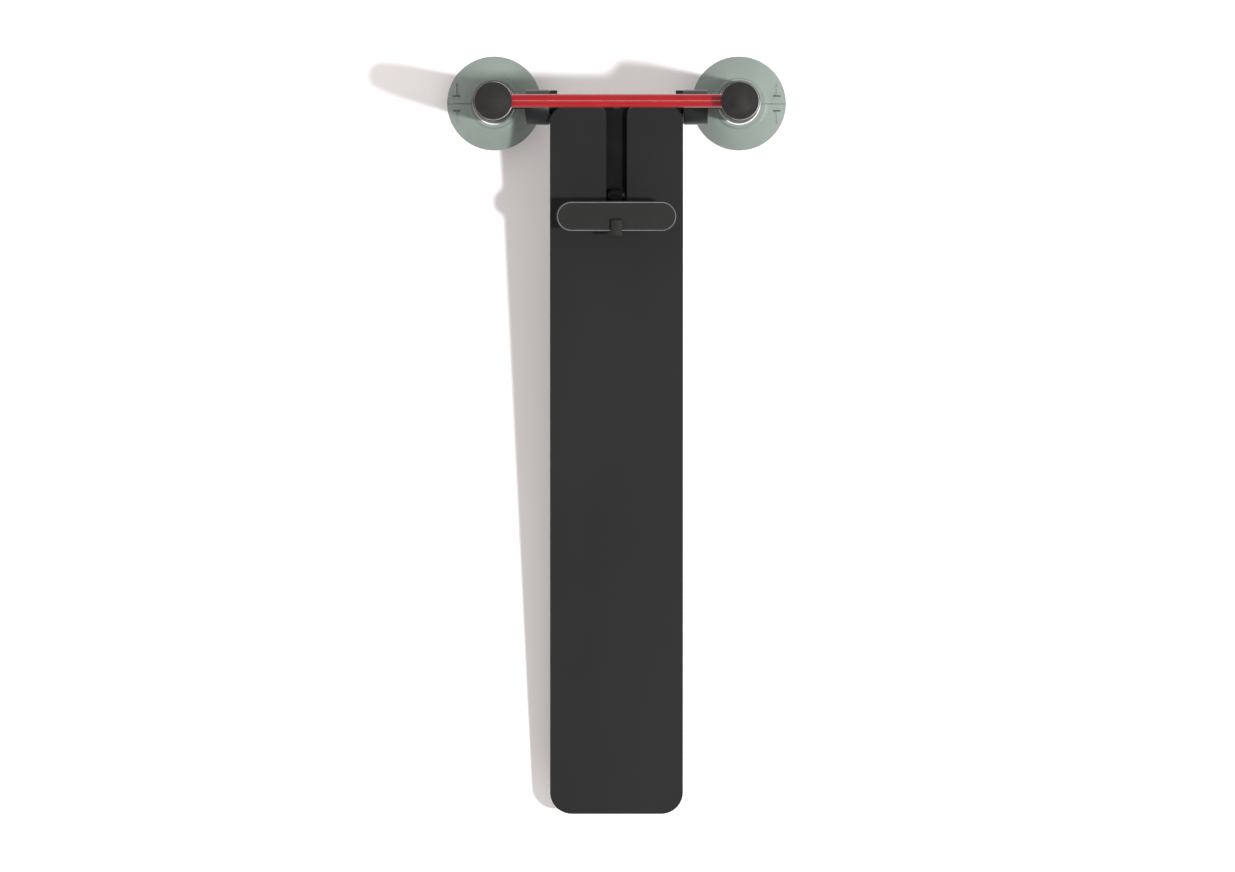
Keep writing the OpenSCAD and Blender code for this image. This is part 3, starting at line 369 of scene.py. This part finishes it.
def grooved_tyre(node, body):
    """A tyre turned round its axle by a spin, with grooves in its tread."""
    low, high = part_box(node)
    centre = (low + high) / 2
    outer = (high.z - low.z) / 2
    half = (high.x - low.x) / 2
    profile = [(-half, outer - TYRE_THICKNESS)]
    for step in range(SHOULDER_STEPS + 1):
        turn = math.radians(90 * step / SHOULDER_STEPS)
        profile.append((-half + SHOULDER_RADIUS * (1 - math.cos(turn)),
                        outer - SHOULDER_RADIUS * (1 - math.sin(turn))))
    shoulder = profile[:]
    for i in range(GROOVES):
        middle = (i - (GROOVES - 1) / 2) * GROOVE_PITCH
        profile.append((middle - GROOVE_WIDTH / 2, outer))
        profile.append((middle - GROOVE_WIDTH / 4, outer - GROOVE_DEPTH))
        profile.append((middle + GROOVE_WIDTH / 4, outer - GROOVE_DEPTH))
        profile.append((middle + GROOVE_WIDTH / 2, outer))
    profile += [(-x, r) for x, r in reversed(shoulder)]
    mesh = bpy.data.meshes.new(node + "_tread")
    points = [(centre.x + x, centre.y, centre.z + r) for x, r in profile]
    count = len(points)
    mesh.from_pydata(points, [(i, (i + 1) % count) for i in range(count)], [])
    piece = bpy.data.objects.new(node + "_tread", mesh)
    bpy.context.scene.collection.objects.link(piece)
    open_edit(piece)
    bpy.ops.mesh.select_all(action="SELECT")
    bpy.ops.mesh.spin(steps=96, angle=2 * math.pi, center=centre, axis=(1, 0, 0))
    bpy.ops.mesh.select_all(action="SELECT")
    bpy.ops.mesh.remove_doubles(threshold=0.01 * MM)
    bpy.ops.mesh.normals_make_consistent(inside=False)
    close_edit()
    mesh.materials.append(urethane)
    bpy.ops.object.shade_smooth_by_angle(angle=math.radians(28))
    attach(piece, body)
    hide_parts(node)


for side in ("left", "right"):
    body = "rear_wheel_" + side
    grooved_tyre("rear_tyre_" + side, body)
    dressed("rear_motor_" + side, body, cast, 0.8 * MM)
    dressed("rear_bearings_" + side, body, steel, 0.4 * MM)

# --- Fold yoke, barrels and headlight --------------------------------------------------------
# A forged plate with the head tube in its middle stands on two smooth barrels that turn on
# the chassis stubs. Two lamps are let into its front face.
dressed("yoke_plate", "fold_yoke", powder, 1.2 * MM, 3)
barrel_gloss, barrel_shader = principled("gloss_barrel", (0.008, 0.010, 0.010), 0.35, 0.15)
barrel_drift = object_noise(barrel_gloss, 25, 3)
tint(barrel_gloss, barrel_shader, barrel_drift, (0.006, 0.0085, 0.0085), (0.010, 0.0135, 0.0135))
vary_roughness(barrel_gloss, barrel_shader, barrel_drift, 0.3, 0.42)
barrel_shader.inputs["Coat Weight"].default_value = 0.06
barrel_shader.inputs["Coat Roughness"].default_value = 0.05
dressed("fold_barrels", "fold_yoke", barrel_gloss, 0.4 * MM)
dressed("headlight_body", "fold_yoke", cast, 0.3 * MM)
lamp_clear, lamp_shader = principled("lamp_polycarbonate", (0.85, 0.88, 0.9), 0.08, 0.5)
lamp_shader.inputs["Alpha"].default_value = 0.55
relief(lamp_clear, lamp_shader, object_noise(lamp_clear, 350, 0, (1, 0.1, 0.1)), 0.6, 0.5 * MM)
dressed("headlight_lens", "fold_yoke", lamp_clear, 0.7 * MM, 3)
bronze, bronze_shader = principled("sintered_bronze", (0.5, 0.32, 0.12), 0.42, 0.5, 1.0)
tint(bronze, bronze_shader, object_noise(bronze, 400, 3), (0.36, 0.23, 0.09), (0.5, 0.33, 0.14))
dressed("head_bushes", "fold_yoke", bronze, 0.3 * MM)
dressed("fold_lock_pin", "fold_lock", steel, 0.5 * MM)

# --- Steered frame: posts, cross tubes, forks and brackets -----------------------------------
# Drawn tubes are coped to the posts and welded; each weld shows as a bead round the cross tube.
for part in ("upper_cross_tube", "lower_cross_tube"):
    dressed(part, "steered_frame", powder, 0)
for part in ("post_tube_left", "post_tube_right"):
    dressed(part, "steered_frame", powder, 0.5 * MM)
for part in ("wheel_forks", "guard_brackets"):
    dressed(part, "steered_frame", powder, 0.8 * MM)
for part in ("steering_shaft", "front_axle_bolts", "guard_pins"):
    dressed(part, "steered_frame", steel, 0.4 * MM)
chrome, chrome_shader = principled("satin_chrome", (0.22, 0.22, 0.225), 0.4, 0.5, 1.0)
vary_roughness(chrome, chrome_shader, object_noise(chrome, 80, 3), 0.36, 0.46)
dressed("post_lips", "steered_frame", chrome, 0.5 * MM, 3)

BEAD = 2.2 * MM
RIPPLE = 0.25 * MM
RIPPLES = 24
TUBE_RADIUS = 10 * MM
BOSS_RADIUS = 12 * MM
post_low, post_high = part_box("post_tube_right")
post_centre = (post_low + post_high) / 2
for tube in ("upper_cross_tube", "lower_cross_tube"):
    tube_low, tube_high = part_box(tube)
    tube_z = tube_low.z + TUBE_RADIUS if tube == "lower_cross_tube" else tube_high.z - BOSS_RADIUS
    for side in (-1, 1):
        bpy.ops.object.select_all(action="DESELECT")
        bpy.ops.mesh.primitive_torus_add(
            location=(side * (post_low.x + 0.4 * MM), post_centre.y, tube_z),
            rotation=(0, math.pi / 2, 0), major_radius=TUBE_RADIUS, minor_radius=BEAD,
            major_segments=72, minor_segments=10)
        bead = bpy.context.object
        bead.name = f"weld_{tube}_{'left' if side < 0 else 'right'}"
        bpy.ops.object.transform_apply(location=True, rotation=True, scale=True)
        for vertex in bead.data.vertices:
            reach = vertex.co.y - post_centre.y
            bulge = post_centre.x - math.sqrt((post_centre.x - post_low.x) ** 2 - reach ** 2)
            turn = math.atan2(vertex.co.z - tube_z, reach)
            ripple = RIPPLE * math.sin(RIPPLES * turn)
            vertex.co.x += side * (bulge - post_low.x + ripple)
        bead.data.materials.append(powder)
        bpy.ops.object.shade_smooth()
        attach(bead, "steered_frame")

# --- Front wheels ----------------------------------------------------------------------------
# Small urethane wheels run on sealed bearings between the fork cheeks.
for side in ("left", "right"):
    body = "front_wheel_" + side
    dressed("front_tyre_" + side, body, urethane, 0.5 * MM)
    dressed("front_bearings_" + side, body, steel, 0.3 * MM)

# --- Splash guards ---------------------------------------------------------------------------
# Each guard is two thermoformed halves in smoky translucent plastic. Light comes through them,
# so they throw no shadow here. The rear half carries the dark edge that closes the seam, and a
# short rib beside the seam on each half is dark too.
guard_clear, guard_shader = principled("smoky_translucent", (0.25, 0.31, 0.28), 0.38, 0.22)
guard_drift = object_noise(guard_clear, 16, 3)
tint(guard_clear, guard_shader, guard_drift, (0.182, 0.225, 0.204), (0.212, 0.259, 0.238))
guard_shader.inputs["Alpha"].default_value = 0.86
guard_dark, dark_shader = principled("smoky_rib", (0.06, 0.075, 0.068), 0.5, 0.2)
tint(guard_dark, dark_shader, object_noise(guard_dark, 60, 3), (0.05, 0.064, 0.058),
     (0.07, 0.088, 0.08))
SEAM_BAND = 1.1 * MM
SEAM_CLOSE = 0.4 * MM
OUTER_PART = 45 * MM
RIB_OUT = (56.9 * MM, 69.1 * MM)
RIB_AWAY = (10.9 * MM, 13.6 * MM)
LARGEST_RIB_FACE = 120 * MM * MM
for side, sign in (("left", -1), ("right", 1)):
    for end in ("front", "rear"):
        part = f"guard_{end}_{side}"
        half = dressed(part, part, guard_clear, 0)
        half.visible_shadow = False
        half.data.materials.append(guard_dark)
        turn = 1 if end == "front" else -1
        if end == "rear":
            seam_y = max(v.co.y for v in half.data.vertices
                         if abs(v.co.x) > post_centre.x + OUTER_PART)
            open_edit(half)
            bpy.ops.mesh.select_all(action="SELECT")
            bpy.ops.mesh.bisect(plane_co=(0, seam_y - SEAM_BAND, 0), plane_no=(0, 1, 0))
            close_edit()
            for face in half.data.polygons:
                if face.center.y > seam_y - SEAM_BAND and face.normal.z > -0.2:
                    face.material_index = 1
            for vertex in half.data.vertices:
                if abs(vertex.co.y - seam_y) < 0.05 * MM:
                    vertex.co.y += SEAM_CLOSE
        for face in half.data.polygons:
            out = sign * face.center.x - post_centre.x
            away = turn * (face.center.y - post_centre.y)
            in_rib = RIB_OUT[0] < out < RIB_OUT[1] and RIB_AWAY[0] < away < RIB_AWAY[1]
            if in_rib and face.area < LARGEST_RIB_FACE and face.normal.z > -0.2:
                face.material_index = 1

# --- Telescopic mast -------------------------------------------------------------------------
# Anodised tubes slide in the posts; fine lengthwise lines show where they have run.
anodised, anodised_shader = principled("anodised_tube", (0.5, 0.5, 0.52), 0.32, 0.5, 1.0)
anodised_lines = object_noise(anodised, 500, 2, (1, 1, 0.01))
tint(anodised, anodised_shader, anodised_lines, (0.4, 0.4, 0.42), (0.56, 0.56, 0.58))
vary_roughness(anodised, anodised_shader, anodised_lines, 0.26, 0.4)
dressed("middle_tubes", "mast_middle", anodised, 0.4 * MM)
dressed("inner_tubes", "mast_upper", anodised, 0.4 * MM)

# --- Red handlebar ---------------------------------------------------------------------------
# A steel tube in glossy red enamel under clear lacquer.
red, red_shader = principled("red_enamel", (0.42, 0.018, 0.02), 0.3, 0.12)
red_drift = object_noise(red, 30, 3)
tint(red, red_shader, red_drift, (0.24, 0.005, 0.008), (0.27, 0.007, 0.010))
red_shader.inputs["Coat Weight"].default_value = 0.3
red_shader.inputs["Coat Roughness"].default_value = 0.05
dressed("handlebar", "mast_upper", red, 0)

# --- Bar heads, twist grips and buttons ------------------------------------------------------
# Each head is a black moulding round the bar's end, topped by a fluted twist grip with a
# sloping shoulder. The left head holds the power button; the release trigger is under the bar.
soft_black, soft_shader = principled("soft_touch_black", (0.022, 0.022, 0.022), 0.6, 0.15)
soft_drift = object_noise(soft_black, 40, 4)
tint(soft_black, soft_shader, soft_drift, (0.0115, 0.0115, 0.0115), (0.017, 0.017, 0.017))
vary_roughness(soft_black, soft_shader, soft_drift, 0.5, 0.7)
relief(soft_black, soft_shader, object_noise(soft_black, 1500, 2), 0.25, 0.15 * MM)
dressed("bar_head_left", "mast_upper", soft_black, 0.8 * MM)
dressed("bar_head_right", "mast_upper", soft_black, 0.8 * MM)
dressed("power_button", "power_button", steel, 0.6 * MM)
dressed("release_trigger", "release_trigger", case_plastic, 1.2 * MM, 3)
dressed("twist_grip_left", "brake_twist", soft_black, 0.5 * MM)
dressed("twist_grip_right", "throttle_twist", soft_black, 0.5 * MM)
